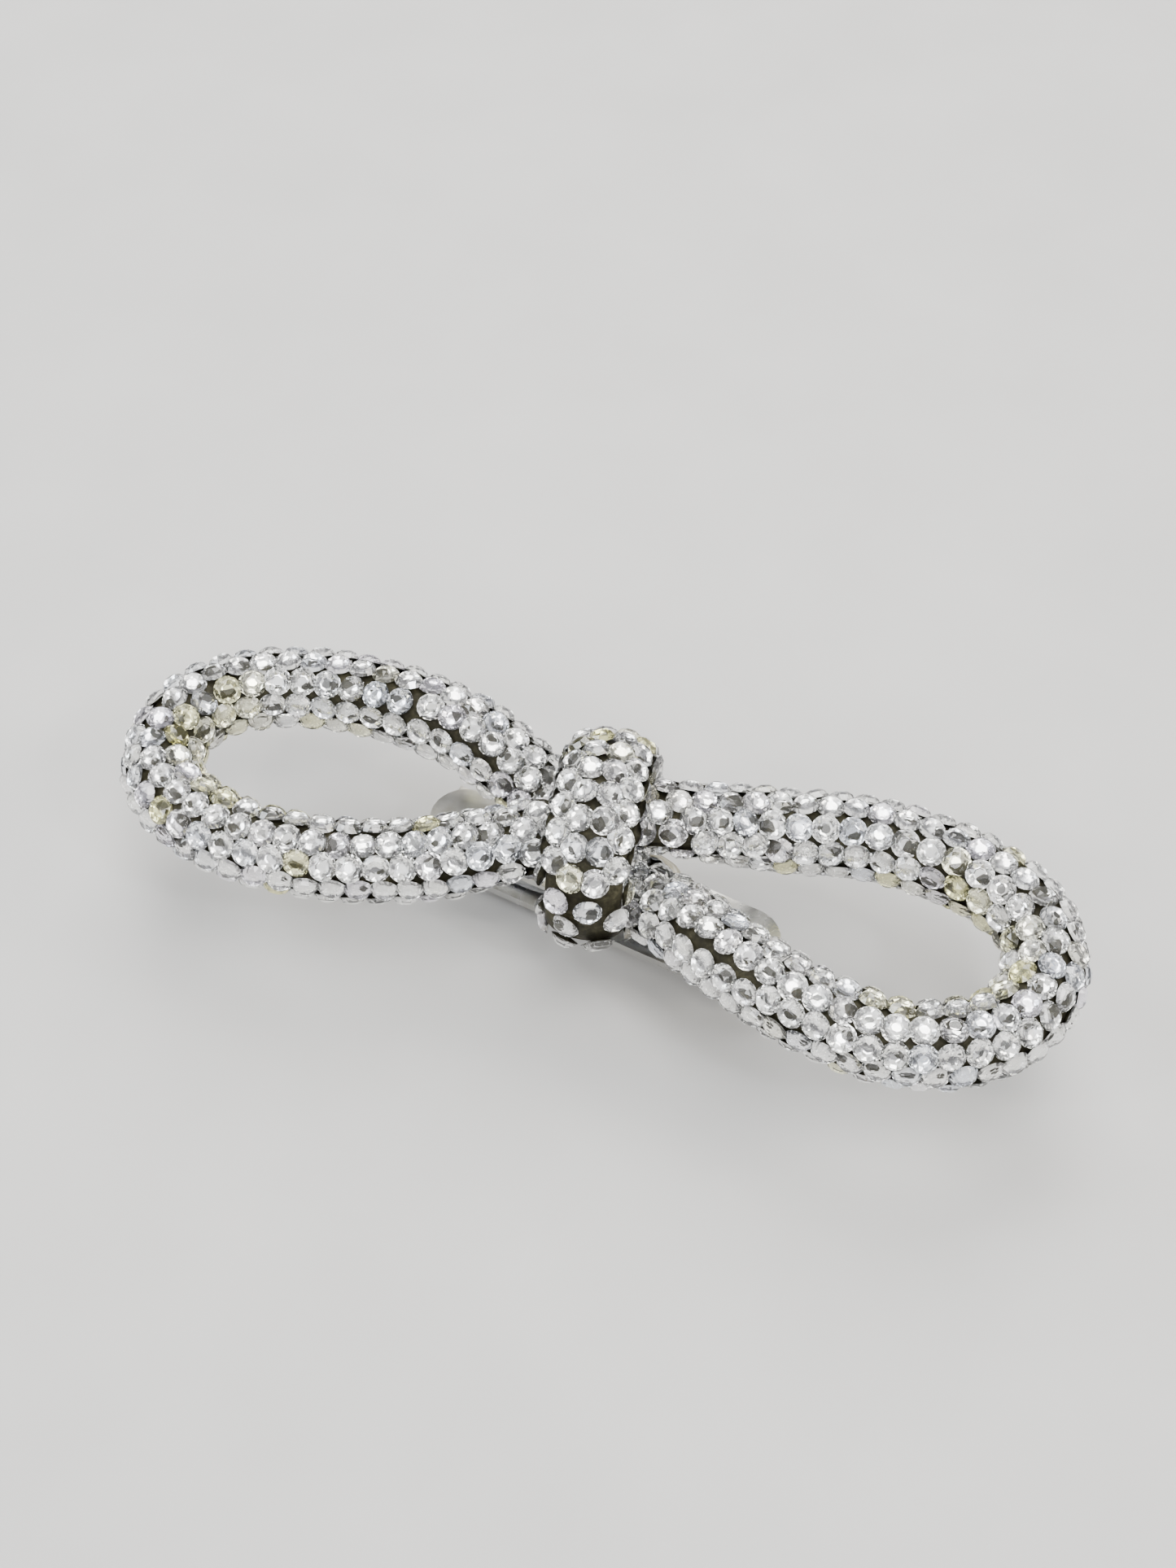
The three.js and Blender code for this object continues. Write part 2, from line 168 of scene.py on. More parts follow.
ramp = colour_ramp(tree, height, [
    (0.0, (0.05, 0.05, 0.055)), (0.3, (0.12, 0.12, 0.13)),
    (0.5, (0.62, 0.62, 0.63)), (1.0, (0.98, 0.98, 0.97))])
tree.links.new(ramp.outputs["Color"], tree.nodes["Background"].inputs["Color"])
walls = add_node(tree, "ShaderNodeTexNoise", {"Vector": sky, "Scale": 2.6, "Detail": 2})
strength = add_node(tree, "ShaderNodeMapRange", {
    "Value": walls.outputs["Fac"], "From Min": 0.4, "From Max": 0.6, "To Min": 0.35, "To Max": 3.4})
tree.links.new(strength.outputs["Result"], tree.nodes["Background"].inputs["Strength"])


# ---- The bow's setting rope ----------------------------------------------------------------------
# Two loops of round setting rope, dull olive-grey between the stones, are bent by hand and meet in the
# knot. One strand of each dips under the other's, and they are pressed flatter where they cross.
ROPE_RADIUS = 3.75 * MM
STONE_RISE = 0.97 * MM
LOOP_LENGTH = 39 * MM
LOOP_HALF_WIDTH = 9.2 * MM
RIGHT_LOOP_TURN = math.radians(-6)
CROSSING_LIFT = 2.775 * MM
CROSSING_SQUASH = 0.66
CROSSING_REACH = 13 * MM
PATH_STEPS = 600
ROPE_STEPS = 130
SWEEP_SIDES = 28
LEFT_OUTLINE = [
    (0.01, 0.12, -1), (0.11, 0.4, -1), (0.22, 0.64, -0.62), (0.37, 0.88, -0.1), (0.57, 1.02, 0),
    (0.8, 0.93, 0), (0.96, 0.55, 0), (1.01, 0, 0), (0.96, -0.55, 0), (0.8, -0.9, 0),
    (0.57, -0.92, 0), (0.37, -0.73, 0.1), (0.22, -0.53, 0.62), (0.11, -0.34, 1), (0.01, -0.12, 1),
]
RIGHT_OUTLINE = [
    (0.01, 0.1, -1), (0.11, 0.24, -1), (0.22, 0.45, -0.62), (0.37, 0.78, -0.1), (0.57, 1.05, 0),
    (0.78, 1.06, 0), (0.94, 0.66, 0), (0.995, 0.05, 0), (0.945, -0.55, 0), (0.8, -0.88, 0),
    (0.57, -0.94, 0), (0.37, -0.7, 0.1), (0.22, -0.42, 0.62), (0.11, -0.22, 1), (0.01, -0.1, 1),
]


def smooth_path(points, count=PATH_STEPS):
    """A centripetal Catmull-Rom curve through the points, as evenly spaced places."""
    points = [np.array(point, float) for point in points]
    points = [2 * points[0] - points[1], *points, 2 * points[-1] - points[-2]]
    dense = []
    for a, b, c, d in zip(points, points[1:], points[2:], points[3:]):
        ab, bc, cd = (np.linalg.norm(q - p) ** 0.5 for p, q in ((a, b), (b, c), (c, d)))
        leave = ((b - a) / ab - (c - a) / (ab + bc) + (c - b) / bc) * bc
        arrive = ((c - b) / bc - (d - b) / (bc + cd) + (d - c) / cd) * bc
        for t in np.linspace(0, 1, 60, endpoint=False):
            dense.append(b + leave * t + (3 * (c - b) - 2 * leave - arrive) * t ** 2
                         + (2 * (b - c) + leave + arrive) * t ** 3)
    dense = np.array([*dense, points[-2]])
    run = np.concatenate([[0], np.cumsum(np.linalg.norm(np.diff(dense, axis=0), axis=1))])
    even = np.linspace(0, run[-1], count)
    return np.column_stack([np.interp(even, run, dense[:, k]) for k in range(3)]), run[-1]


class Bar:
    """A bar bent along a path, with an oval section whose half sizes vary along it."""

    def __init__(self, points, up, half_sizes):
        self.places, self.length = smooth_path(points)
        self.tangents = np.gradient(self.places, axis=0)
        self.tangents /= np.linalg.norm(self.tangents, axis=1, keepdims=True)
        self.sides = np.cross(self.tangents, np.array(up, float))
        self.sides /= np.linalg.norm(self.sides, axis=1, keepdims=True)
        self.rises = np.cross(self.sides, self.tangents)
        self.half_sizes = half_sizes

    def at(self, along):
        """Place, side, rise and tangent at distances along the bar."""
        index = np.clip(along / self.length, 0, 1) * (len(self.places) - 1)
        low = np.minimum(index.astype(int), len(self.places) - 2)
        share = (index - low)[:, None]
        return [values[low] * (1 - share) + values[low + 1] * share
                for values in (self.places, self.sides, self.rises, self.tangents)]

    def skin(self, along, angle, inset):
        """Points on the skin, inset from it, with their outward normals."""
        place, side, rise, _ = self.at(along)
        wide, tall = (size - inset for size in self.half_sizes(along, self.length))
        across, up = np.cos(angle), np.sin(angle)
        point = place + side * (wide * across)[:, None] + rise * (tall * up)[:, None]
        normal = side * (across / wide)[:, None] + rise * (up / tall)[:, None]
        return point, normal / np.linalg.norm(normal, axis=1, keepdims=True)

    def station(self, along, inset):
        """The frame that carries a unit ring onto the section at a distance along the bar."""
        place, side, rise, tangent = (values[0] for values in self.at(np.array([along])))
        wide, tall = (float(size[0]) - inset for size in self.half_sizes(np.array([along]), self.length))
        return Matrix(np.column_stack([side * wide, rise * tall, tangent * MM, place]).tolist()
                      + [[0, 0, 0, 1]])


def sort_mesh(bm, made_at):
    """Puts corners, edges and faces in one fixed order. Extruding leaves them in one that varies."""
    rank = {vert: i for i, vert in enumerate(sorted(bm.verts, key=made_at.get))}
    bm.verts.sort(key=rank.get)
    bm.verts.index_update()
    for items in (bm.edges, bm.faces):
        order = sorted(items, key=lambda item: sorted(vert.index for vert in item.verts))
        rank = {item: i for i, item in enumerate(order)}
        items.sort(key=rank.get)


def sweep_bar(bar, inset, steps, sides):
    """A closed solid made by drawing one ring along the bar."""
    bm = bmesh.new()
    ring = bmesh.ops.create_circle(bm, segments=sides, radius=1)["verts"]
    stations = [bar.station(bar.length * i / steps, inset) for i in range(steps + 1)]
    bmesh.ops.transform(bm, matrix=stations[0], verts=ring)
    first = last = list(bm.edges)
    made_at = {vert: (0, *vert.co) for vert in ring}
    for before, after in zip(stations, stations[1:]):
        made = bmesh.ops.extrude_edge_only(bm, edges=last)["geom"]
        verts = [item for item in made if isinstance(item, bmesh.types.BMVert)]
        bmesh.ops.transform(bm, matrix=after @ before.inverted(), verts=verts)
        made_at.update({vert: (len(bm.verts), *vert.co) for vert in verts})
        new = set(verts)
        last = list({edge for vert in verts for edge in vert.link_edges if set(edge.verts) <= new})
    bmesh.ops.holes_fill(bm, edges=first + last, sides=0)
    bmesh.ops.recalc_face_normals(bm, faces=bm.faces)
    sort_mesh(bm, made_at)
    for face in bm.faces:
        face.smooth = len(face.verts) == 4
    return bm


def rope_sizes(along, length):
    """Half width and half height of the rope over its stones."""
    from_knot = np.minimum(along, length - along)
    share = np.clip((from_knot - 0.3 * CROSSING_REACH) / (0.7 * CROSSING_REACH), 0, 1)
    free = share * share * (3 - 2 * share)
    return np.full_like(along, ROPE_RADIUS), ROPE_RADIUS * (CROSSING_SQUASH + (1 - CROSSING_SQUASH) * free)


def bent_loop(outline, direction, turn):
    """The rope of one loop. Its outline is in shares of the loop's length, width and crossing lift."""
    points = []
    for along, across, lift in outline:
        point = Vector((direction * along * LOOP_LENGTH, -direction * across * LOOP_HALF_WIDTH,
                        lift * CROSSING_LIFT))
        point.rotate(Matrix.Rotation(turn, 3, "Z"))
        points.append(point + knot_middle)
    return Bar(points, (0, 0, 1), rope_sizes)


setting_clay, tree, shader = principled("setting_clay", Roughness=0.6, Metallic=0.0)
shader.inputs["Specular IOR Level"].default_value = 0.12
coordinates = add_node(tree, "ShaderNodeTexCoord").outputs["Object"]
grain = add_node(tree, "ShaderNodeTexNoise", {
    "Vector": coordinates, "Scale": 2600, "Detail": 6, "Roughness": 0.65})
blotch = add_node(tree, "ShaderNodeTexNoise", {"Vector": coordinates, "Scale": 320, "Detail": 3})
mixed = add_node(tree, "ShaderNodeMath", {
    0: grain.outputs["Fac"], 1: blotch.outputs["Fac"]}, operation="ADD")
half = add_node(tree, "ShaderNodeMath", {0: mixed.outputs[0], 1: 0.5}, operation="MULTIPLY")
ramp = colour_ramp(tree, half.outputs[0], [
    (0.32, (0.006, 0.005, 0.003)), (0.5, (0.022, 0.020, 0.011)), (0.68, (0.060, 0.055, 0.032))])
tree.links.new(ramp.outputs["Color"], shader.inputs["Base Color"])
bump = add_node(tree, "ShaderNodeBump", {
    "Height": grain.outputs["Fac"], "Strength": 0.5, "Distance": 0.00008})
tree.links.new(bump.outputs["Normal"], shader.inputs["Normal"])

left_loop = bent_loop(LEFT_OUTLINE, -1, 0)
right_loop = bent_loop(RIGHT_OUTLINE, 1, RIGHT_LOOP_TURN)
loops = {"left": left_loop, "right": right_loop}
for side, loop in loops.items():
    rope = make_piece(f"{side}_setting_rope", sweep_bar(loop, STONE_RISE, ROPE_STEPS, SWEEP_SIDES),
                      [setting_clay])
    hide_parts(f"{side}_loop_rope")
    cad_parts[f"{side}_loop_core"].data.materials.clear()
    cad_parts[f"{side}_loop_core"].data.materials.append(setting_clay)


# ---- The path of the knot ------------------------------------------------------------------------
# The knot's wall is bent over the crossing strands as an arch, leaning a little from straight across,
# and ends in two feet that turn in below. Its path comes before the stones, which keep clear of it.
KNOT_TURN = math.radians(5)
KNOT_HALF_SPAN = 7.75 * MM
KNOT_RISE = 6.15 * MM
KNOT_HALF_WIDTH = 4.2 * MM
KNOT_HALF_WALL = 2.5 * MM
KNOT_FOOT_ANGLE = 42
KNOT_POINTS = 13


def knot_points():
    """The middle of the band's wall, from the far foot over the top to the near foot."""
    across = Vector((0, 1, 0))
    across.rotate(Matrix.Rotation(KNOT_TURN, 3, "Z"))
    for i in range(KNOT_POINTS):
        angle = math.radians(-KNOT_FOOT_ANGLE + (180 + 2 * KNOT_FOOT_ANGLE) * i / (KNOT_POINTS - 1))
        rise = Vector((0, 0, math.sin(angle) * KNOT_RISE))
        yield knot_middle - across * math.cos(angle) * KNOT_HALF_SPAN + rise


def knot_sizes(along, length):
    """Half wall and half width of the band over its stones."""
    return np.full_like(along, KNOT_HALF_WALL), np.full_like(along, KNOT_HALF_WIDTH)


knot = Bar(list(knot_points()), (math.cos(KNOT_TURN), math.sin(KNOT_TURN), 0), knot_sizes)


# ---- The stones ----------------------------------------------------------------------------------
# Round foil-backed crystals, 2.5 mm across, are set by hand side by side all over the rope. Each is cut
# with a small flat table, star and main facets down to its girdle, and its shallow back is silvered.
STONE_RADIUS = 1.25 * MM
CROWN_HEIGHT = 0.72 * MM
BACK_DEPTH = 0.19 * MM
PUSH_SHARE = 0.35           # of an overlap, taken away in one round of sliding
SEAM_PUSH_SHARE = 0.5
SPOTS_ALONG = 260           # places tried for a spare stone
SPOTS_AROUND = 60
FILL_WHEN_OVER = (0.86, 0.84)   # room for one more stone, in spacings, on each pass
CROWDED_UNDER = 0.9         # stones nearer than this many spacings are thinned while packing
TOUCHING_UNDER = 0.84       # and nearer than this at the end
USUAL_LEAN = 0.1
MOST_SINK = 0.09


def cut_stone():
    """One cut stone, upright on its girdle, as a mesh with a crystal front and a silvered back."""
    bm = bmesh.new()
    rings = [  # sides, radius, height and turn of each ring of corners
        (8, 0.40, CROWN_HEIGHT, 0.5), (8, 0.74, 0.5 * MM, 0),
        (16, 1.0, 0, 0.5), (8, 0.35, -BACK_DEPTH, 0.5),
    ]
    for sides, share, height, turn in rings:
        place = Matrix.Translation((0, 0, height)) @ Matrix.Rotation(turn * math.tau / sides, 4, "Z")
        bmesh.ops.create_circle(bm, segments=sides, radius=share * STONE_RADIUS, matrix=place)
    hull = bmesh.ops.convex_hull(bm, input=bm.verts)
    left_over = hull["geom_interior"] + hull["geom_unused"]
    spare = [item for item in left_over if isinstance(item, bmesh.types.BMVert)]
    bmesh.ops.delete(bm, geom=spare, context="VERTS")
    bmesh.ops.dissolve_limit(bm, angle_limit=math.radians(1), verts=bm.verts, edges=bm.edges)
    bmesh.ops.recalc_face_normals(bm, faces=bm.faces)
    for face in bm.faces:
        face.material_index = 1 if face.normal.z < -0.1 else 0
    mesh = bpy.data.meshes.new("cut_stone")
    bm.to_mesh(mesh)
    bm.free()
    return mesh


stone_mesh = cut_stone()


def seat_stones(bar, along, angle, spacing, keep_off=(), rounds=70):
    """Slides stones over a bar's skin until none is nearer to another than the spacing."""
    girth = sum(size.mean() for size in bar.half_sizes(along, bar.length)) / 2
    for _ in range(rounds):
        point, normal = bar.skin(along, angle, CROWN_HEIGHT)
        tangent = bar.at(along)[3]
        gap = point[:, None] - point[None]
        distance = np.linalg.norm(gap, axis=2) + np.eye(len(point))
        push = np.clip(spacing - distance, 0, None) * (1 - np.eye(len(point)))
        shift = (gap / distance[:, :, None] * push[:, :, None]).sum(1) * PUSH_SHARE
        around = np.cross(tangent, normal)
        along = np.clip(along + (shift * tangent).sum(1), 0, bar.length)
        angle = angle - (shift * around).sum(1) / girth
        for start, end, centre, reach in keep_off:
            inside = (along > start) & (along < end)
            away = (angle - centre + math.pi) % math.tau - math.pi
            short = np.clip(reach - np.abs(away), 0, None) * np.where(away < 0, -1, 1)
            angle = np.where(inside, angle + SEAM_PUSH_SHARE * short, angle)
    return along, angle


def thin_out(point, least):
    """Which stones stay, when those that still crowd another are taken away."""
    stay = np.ones(len(point), bool)
    distance = np.linalg.norm(point[:, None] - point[None], axis=2) + 9 * np.eye(len(point))
    while True:
        seen = distance[np.ix_(stay, stay)]
        if not len(seen) or seen.min() >= least:
            return stay
        crowd = (np.clip(least - seen, 0, None)).sum(1)
        stay[np.flatnonzero(stay)[crowd.argmax()]] = False


def inside_bar(point, bar, inset):
    """Which points lie inside a bar's skin."""
    gap = point[:, None] - bar.places[None]
    nearest = np.linalg.norm(gap, axis=2).argmin(1)
    offset = point - bar.places[nearest]
    wide, tall = bar.half_sizes(nearest / (len(bar.places) - 1) * bar.length, bar.length)
    across = (offset * bar.sides[nearest]).sum(1) / (wide - inset)
    up = (offset * bar.rises[nearest]).sum(1) / (tall - inset)
    ahead = (offset * bar.tangents[nearest]).sum(1)
    return (across ** 2 + up ** 2 < 1) & (np.abs(ahead) < 1 * MM)


def fill_gaps(bar, along, angle, least, allowed):
    """Adds a stone wherever there is still room for one."""
    spare_along, spare_angle = (grid.ravel() for grid in np.meshgrid(
        np.linspace(0, bar.length, SPOTS_ALONG), np.linspace(0, math.tau, SPOTS_AROUND, endpoint=False)))
    spots, _ = bar.skin(spare_along, spare_angle, CROWN_HEIGHT)
    stay = allowed(spare_along, spare_angle, spots)
    spare_along, spare_angle, spots = spare_along[stay], spare_angle[stay], spots[stay]
    room = np.full(len(spots), 1.0)
    for stone in bar.skin(along, angle, CROWN_HEIGHT)[0]:
        room = np.minimum(room, np.linalg.norm(spots - stone, axis=1))
    while room.max() > least:
        best = room.argmax()
        along = np.append(along, spare_along[best])
        angle = np.append(angle, spare_angle[best])
        room = np.minimum(room, np.linalg.norm(spots - spots[best], axis=1))
    return along, angle


def pack_stones(bar, along, angle, spacing, allowed, keep_off=()):
    """Seats the stones and fills what gaps are left."""
    along, angle = seat_stones(bar, along, angle, spacing, keep_off)
    for least in FILL_WHEN_OVER:
        points, _ = bar.skin(along, angle, CROWN_HEIGHT)
        stay = allowed(along, angle, points)
        along, angle = along[stay], angle[stay]
        stay = thin_out(points[stay], CROWDED_UNDER * spacing)
        along, angle = fill_gaps(bar, along[stay], angle[stay], least * spacing, allowed)
        along, angle = seat_stones(bar, along, angle, spacing, keep_off, rounds=16)
    points, _ = bar.skin(along, angle, CROWN_HEIGHT)
    stay = thin_out(points, TOUCHING_UNDER * spacing) & allowed(along, angle, points)
    return along[stay], angle[stay]


def set_stones(name, points, normals, yellow_and_reflection_share, seed):
    """Sets a stone at each point, turned and tilted a little at random, as one piece."""
    chance = random.Random(seed)
    bm = bmesh.new()
    tint = bm.faces.layers.float.new("tint")
    flash = bm.faces.layers.float.new("flash")
    for point, normal, yellow_and_reflection in zip(points, normals, yellow_and_reflection_share):
        lean = Vector([chance.gauss(0, USUAL_LEAN) for _ in range(3)])
        upright = (Vector(normal) + lean).normalized().to_track_quat("Z", "Y").to_matrix().to_4x4()
        spin = Matrix.Rotation(chance.uniform(0, math.tau), 4, "Z")
        sink = Matrix.Translation((0, 0, chance.uniform(-MOST_SINK, 0.0) * MM))
        stone = stone_mesh.copy()
        stone.transform(Matrix.Translation(Vector(point)) @ upright @ spin @ sink)
        first = len(bm.faces)
        bm.from_mesh(stone)
        bm.faces.ensure_lookup_table()
        # A few stones get a yellow tint at random. Those facing into a loop's end mostly get it too, as a
        # painted warm reflection.
        hue = chance.uniform(0.8, 1) if chance.random() < yellow_and_reflection else chance.uniform(0, 0.8)
        for face in bm.faces[first:]:
            face[tint] = hue
            face[flash] = chance.random()
        bpy.data.meshes.remove(stone)
    piece = make_piece(name, bm, [crystal, silvering])
    return piece


crystal, tree, shader = principled("crystal", Roughness=0.02, IOR=1.6)
shader.inputs["Transmission Weight"].default_value = 0.97
tint = add_node(tree, "ShaderNodeAttribute", attribute_name="tint").outputs["Fac"]
# The yellow end of this ramp colours the few random yellow stones and the painted warm reflection inside
# the loops' ends.
ramp = colour_ramp(tree, tint, [
    (0.0, (0.99, 0.99, 0.98)), (0.45, (0.99, 0.99, 0.99)), (0.56, (0.86, 0.90, 0.99)),
    (0.64, (0.99, 0.98, 0.97)), (0.76, (0.92, 0.89, 0.98)), (0.8, (0.97, 0.96, 0.90)),
    (0.9, (0.92, 0.90, 0.66)), (1.0, (0.80, 0.77, 0.36))])
tree.links.new(ramp.outputs["Color"], shader.inputs["Base Color"])
coordinates = add_node(tree, "ShaderNodeTexCoord").outputs["Object"]
haze = add_node(tree, "ShaderNodeTexNoise", {"Vector": coordinates, "Scale": 900, "Detail": 5})
haze_ramp = add_node(tree, "ShaderNodeMapRange", {
    "Value": haze.outputs["Fac"], "From Min": 0.45, "From Max": 0.8, "To Min": 0.01, "To Max": 0.14})
tree.links.new(haze_ramp.outputs["Result"], shader.inputs["Roughness"])

silvering, tree, shader = principled("silvering", Metallic=1, Roughness=0.12)
flash = add_node(tree, "ShaderNodeAttribute", attribute_name="flash").outputs["Fac"]
ramp = colour_ramp(tree, flash, [
    (0.0, (0.86, 0.86, 0.83)), (0.5, (0.95, 0.95, 0.94)), (1.0, (0.99, 0.99, 0.99))])
tree.links.new(ramp.outputs["Color"], shader.inputs["Base Color"])
dulled = add_node(tree, "ShaderNodeMapRange", {"Value": flash, "To Min": 0.03, "To Max": 0.16})
tree.links.new(dulled.outputs["Result"], shader.inputs["Roughness"])

# The rope's stones run in nine rows. Near the knot a narrow seam parts them on the strand that dips
# under. Stones that face into the end of a loop are tinted yellow most often, as a painted warm reflection.
ROWS = 9
STONE_SPACING = 2.2 * MM
SEAM_REACH = 20 * MM
SEAM_HALF_GAP = 0.37
TRACK_STEPS = 800
seam_angles = {"left": math.radians(132), "right": math.radians(48)}


def loop_tint_and_reflection(loop, points, normals):
    """How likely a stone is to be tinted yellow: a few at random everywhere, and most inside the end of its
    loop, where the yellow is a painted reflection.
    """
    inward = loop.places.mean(0) - points
    inward /= np.linalg.norm(inward, axis=1, keepdims=True)
    facing = np.clip((inward * normals).sum(1) * 1.6, 0, 1)
    out = np.clip((np.abs(points[:, 0] - knot_middle.x) / LOOP_LENGTH - 0.5) / 0.35, 0, 1)
    return 0.05 + 0.85 * facing * out


for seed, (side, loop) in enumerate(loops.items()):
    along, angle = [], []
    for row in range(ROWS):
        turn = math.tau * row / ROWS
        fine = np.linspace(0, loop.length, TRACK_STEPS)
        track, _ = loop.skin(fine, np.full(TRACK_STEPS, turn), CROWN_HEIGHT)
        run = np.concatenate([[0], np.cumsum(np.linalg.norm(np.diff(track, axis=0), axis=1))])
        places = np.arange((row * 5 / 9 % 1) * STONE_SPACING, run[-1], STONE_SPACING * 1.02)
        along.extend(np.interp(places, run, fine))
        angle.extend([turn] * len(places))
    other = right_loop if side == "left" else left_loop
    seam_angle = seam_angles[side]

    def allowed(along, angle, points):
        """Keeps stones out of the seam, the other rope and the inside of the knot."""
        off_seam = np.abs((angle - seam_angle + math.pi) % math.tau - math.pi) > 0.9 * SEAM_HALF_GAP
        clear = ~inside_bar(points, other, 0.4 * MM) & ~inside_bar(points, knot, 0.5 * MM)
        return clear & (off_seam | (along > SEAM_REACH))

    seam = [(0, SEAM_REACH, seam_angle, SEAM_HALF_GAP)]
    along, angle = pack_stones(loop, np.array(along), np.array(angle), STONE_SPACING, allowed, seam)
    points, normals = loop.skin(along, angle, CROWN_HEIGHT)
    set_stones(f"{side}_rope_stones", points, normals, loop_tint_and_reflection(loop, points, normals), seed)
    print(side, "stones", len(points))


# ---- The knot ------------------------------------------------------------------------------------
# A thick stone-set band arches over the crossing and is open below, where it sits on the mounting pad.
# Its top is as closely set as the rope. Low on its near side the stones are sparse.
KNOT_STEPS = 60
PAD_CLEARANCE = 0.3 * MM
KNOT_ROWS = 9
KNOT_ROW_REACH = 110        # degrees to each side of straight outwards
bm = sweep_bar(knot, STONE_RISE, KNOT_STEPS, SWEEP_SIDES)
pad_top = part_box("mounting_pad")[1].z
bmesh.ops.bisect_plane(bm, geom=bm.verts[:] + bm.edges[:] + bm.faces[:],
                       plane_co=(0, 0, pad_top + PAD_CLEARANCE), plane_no=(0, 0, 1), clear_inner=True)
bmesh.ops.holes_fill(bm, edges=[edge for edge in bm.edges if edge.is_boundary], sides=0)
bmesh.ops.recalc_face_normals(bm, faces=bm.faces)
knot_band = make_piece("knot_setting", bm, [setting_clay])
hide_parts("knot_band")

along, angle = [], []
for row in range(KNOT_ROWS):
    turn = math.radians(-KNOT_ROW_REACH + 2 * KNOT_ROW_REACH * row / (KNOT_ROWS - 1))
    places = np.arange((row % 2) * 0.5 * STONE_SPACING, knot.length, STONE_SPACING * 0.95)
    along.extend(places)
    angle.extend([turn] * len(places))


def on_knot(along, angle, points):
    """Keeps the knot's stones above the pad and out of the strands."""
    clear = points[:, 2] > pad_top + 0.9 * STONE_RADIUS
    for loop in loops.values():
        clear &= ~inside_bar(points, loop, 0.7 * MM)
    return clear


def low_near(points):
    """The sparsely set part of the knot."""
    return (points[:, 1] < knot_middle.y - 5.5 * MM) & (points[:, 2] < knot_middle.z + 3 * MM)


def closely_set(along, angle, points):
    """Where the knot is set as closely as the rope."""
    return on_knot(along, angle, points) & ~low_near(points)


def sparsely_set(along, angle, points):
    """Where the knot's stones stand apart."""
    return on_knot(along, angle, points) & low_near(points)


spacing = 0.97 * STONE_SPACING
along, angle = pack_stones(knot, np.array(along), np.array(angle), spacing, closely_set)
along, angle = fill_gaps(knot, along, angle, 1.12 * spacing, sparsely_set)
points, normals = knot.skin(along, angle, CROWN_HEIGHT)
set_stones("knot_stones", points, normals, np.full(len(points), 0.08), 7)
print("knot stones", len(points))


# ---- The barrette --------------------------------------------------------------------------------
# Stamped nickel-plated strip with its edges tumbled, lightly scratched along its length and dulled in
# patches. The tension bow and the release prongs are of bluish spring steel.
CLIP_TURN = math.radians(-12)
STRIP_EDGE = 0.1 * MM
RIVET_EDGE = 0.08 * MM
SPRING_EDGE = 0.06 * MM


def strip_metal(name, dark, pale, scratch_depth):
    """Plated strip: fine scratches along the clip, and duller patches where it has been handled."""
    material, tree, shader = principled(name, Metallic=1, Roughness=0.25)
    place = add_node(tree, "ShaderNodeTexCoord").outputs["Object"]
    along_clip = add_node(tree, "ShaderNodeMapping", {
        "Vector": place, "Rotation": (0, 0, -CLIP_TURN), "Scale": (60, 2600, 900)}).outputs["Vector"]
    scratch = add_node(tree, "ShaderNodeTexNoise", {"Vector": along_clip, "Scale": 1, "Detail": 5})
    patch = add_node(tree, "ShaderNodeTexNoise", {"Vector": place, "Scale": 260, "Detail": 4})
    ramp = colour_ramp(tree, patch.outputs["Fac"], [(0.35, dark), (0.55, pale)])
    tree.links.new(ramp.outputs["Color"], shader.inputs["Base Color"])
    dull = add_node(tree, "ShaderNodeMapRange", {
        "Value": patch.outputs["Fac"], "From Min": 0.35, "From Max": 0.65, "To Min": 0.42, "To Max": 0.2})
    tree.links.new(dull.outputs["Result"], shader.inputs["Roughness"])
    bump = add_node(tree, "ShaderNodeBump", {
        "Height": scratch.outputs["Fac"], "Strength": scratch_depth, "Distance": 0.00003})
    tree.links.new(bump.outputs["Normal"], shader.inputs["Normal"])
    return material


def finished_part(node, body, material, edge):
    """The shape of a CAD node with its edges broken by a small round, riding on its body."""
    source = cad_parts[node]
    bm = bmesh.new()
    bm.from_mesh(source.data)
    bm.transform(source.matrix_world)
    bmesh.ops.remove_doubles(bm, verts=bm.verts, dist=0.004 * MM)
    bmesh.ops.dissolve_limit(bm, angle_limit=math.radians(1), verts=bm.verts, edges=bm.edges)
    sharp = [item for item in bm.edges if item.is_manifold and item.calc_face_angle() > math.radians(40)]
    bmesh.ops.bevel(bm, geom=sharp, offset=edge, offset_type="OFFSET", segments=2, profile=0.5,
                    affect="EDGES", clamp_overlap=True, material=-1)
    bmesh.ops.recalc_face_normals(bm, faces=bm.faces)
    for face in bm.faces:
        face.smooth = True
    piece = make_piece(f"{node}_finished", bm, [material], body)
    piece.modifiers.new("even_shading", "WEIGHTED_NORMAL")
    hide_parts(node)
    return piece


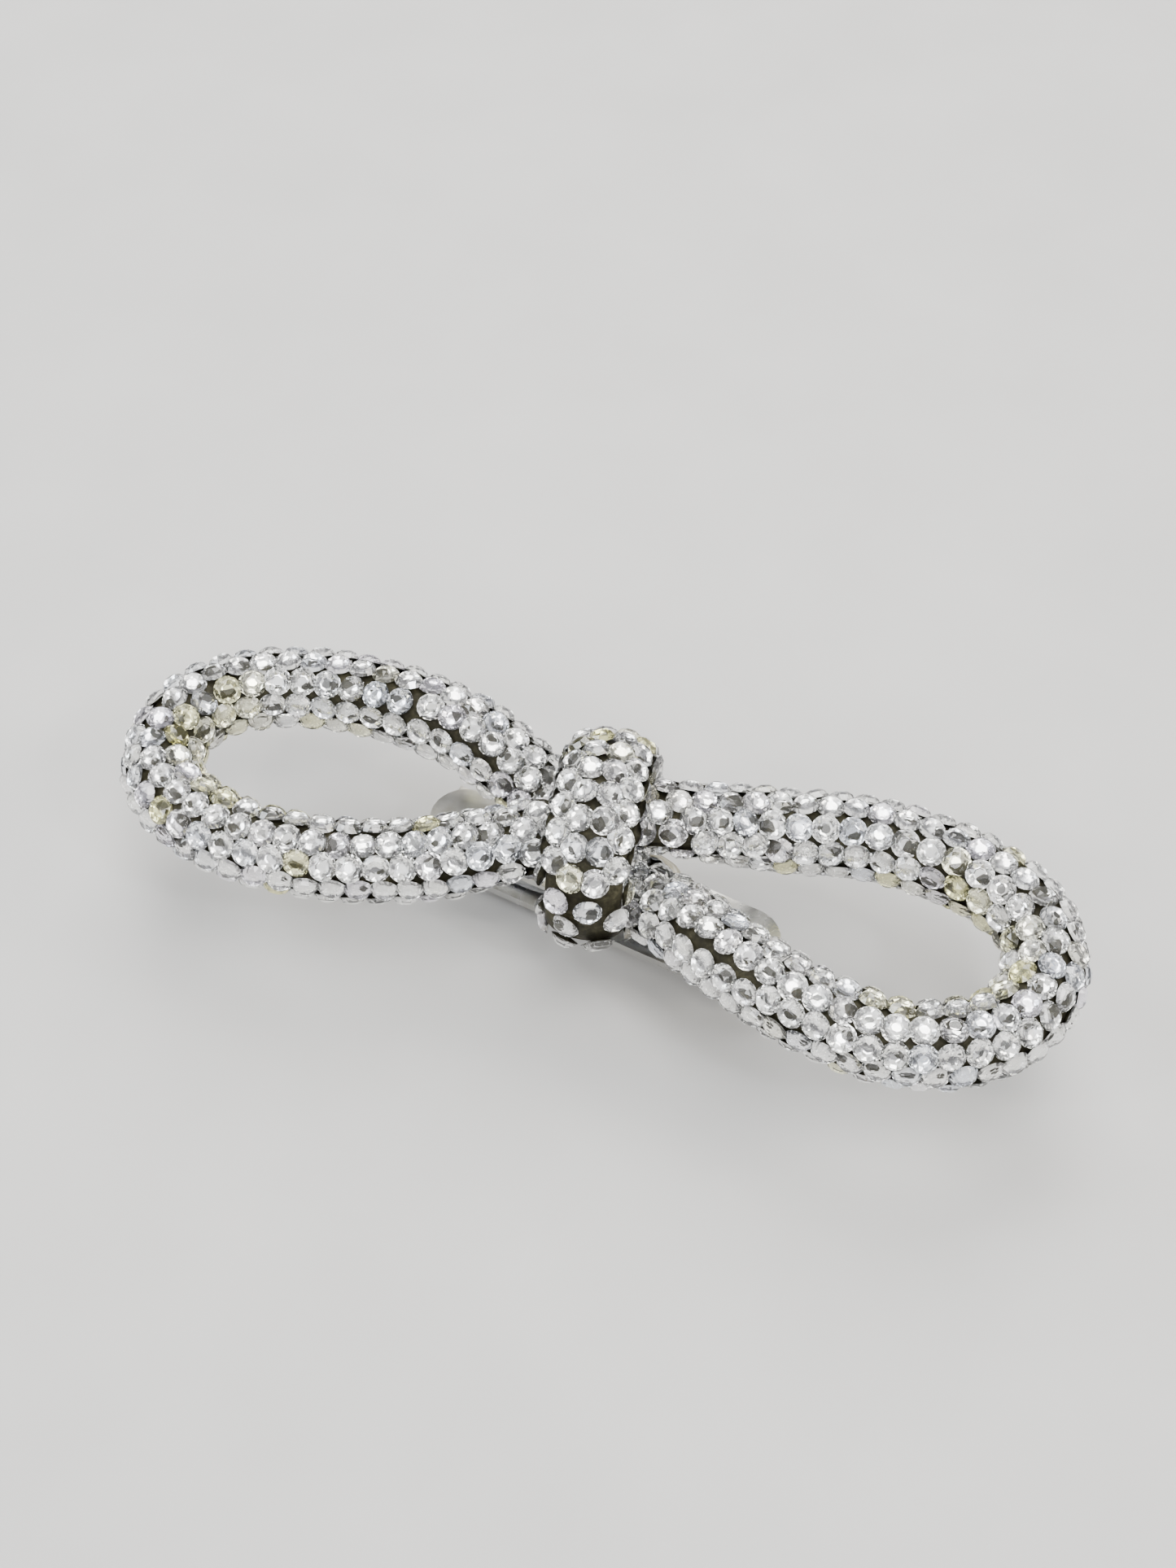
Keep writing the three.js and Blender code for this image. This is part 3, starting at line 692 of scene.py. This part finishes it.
# Clear adhesive, yellowed a little, has squeezed out round the pad as a lumpy bead.
adhesive, tree, shader = principled("adhesive", Roughness=0.22, IOR=1.47)
shader.inputs["Transmission Weight"].default_value = 0.55
coordinates = add_node(tree, "ShaderNodeTexCoord").outputs["Object"]
cloud = add_node(tree, "ShaderNodeTexNoise", {"Vector": coordinates, "Scale": 900, "Detail": 3})
ramp = colour_ramp(tree, cloud.outputs["Fac"], [(0.35, (0.62, 0.56, 0.40)), (0.65, (0.80, 0.76, 0.62))])
tree.links.new(ramp.outputs["Color"], shader.inputs["Base Color"])
PAD_HALF_LENGTH = 7 * MM
PAD_HALF_WIDTH = 3.5 * MM
BEAD_POINTS = 60
BEAD_STEPS = 240
BEAD_SIDES = 10
pad_low, pad_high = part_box("mounting_pad")
pad_middle = (pad_low + pad_high) / 2
clip_across = Vector((-math.sin(CLIP_TURN), math.cos(CLIP_TURN), 0))
clip_along = Vector((math.cos(CLIP_TURN), math.sin(CLIP_TURN), 0))
bead_path = []
for i in range(BEAD_POINTS + 1):
    turn = math.tau * i / BEAD_POINTS
    reach = PAD_HALF_LENGTH - PAD_HALF_WIDTH if math.cos(turn) > 0 else PAD_HALF_WIDTH - PAD_HALF_LENGTH
    place = pad_middle + clip_along * (reach + math.cos(turn) * PAD_HALF_WIDTH)
    place += clip_across * math.sin(turn) * PAD_HALF_WIDTH
    place.z = pad_high.z - 0.05 * MM
    bead_path.append(place)


def bead_sizes(along, length):
    """Half width and half height of the bead, which swells and thins as it goes round."""
    swell = 0.42 + 0.09 * np.sin(along / length * 31) + 0.06 * np.sin(along / length * 77 + 1)
    return swell * MM, 0.8 * swell * MM


bead_bar = Bar(bead_path, (0, 0, 1), bead_sizes)
bead = make_piece("adhesive_bead", sweep_bar(bead_bar, 0, BEAD_STEPS, BEAD_SIDES), [adhesive])
bead.modifiers.new("soft", "SUBSURF").levels = 1
bead.modifiers["soft"].render_levels = 1

nickel = strip_metal("nickel_plate", (0.46, 0.44, 0.38), (0.72, 0.715, 0.69), 0.35)
steel = strip_metal("spring_steel", (0.33, 0.34, 0.36), (0.52, 0.54, 0.57), 0.5)
for node in ("back_plate", "hinge_pin", "left_pad_rivet", "right_pad_rivet", "catch_bracket", "catch_rivet",
             "mounting_pad"):
    finished_part(node, ROOT, nickel, STRIP_EDGE)
finished_part("clasp_arm", "clasp_arm", nickel, STRIP_EDGE)
finished_part("bow_rivet", "clasp_arm", nickel, RIVET_EDGE)
finished_part("tension_bow", "clasp_arm", steel, SPRING_EDGE)
for node in ("near_release_prong", "far_release_prong"):
    finished_part(node, node, steel, SPRING_EDGE)
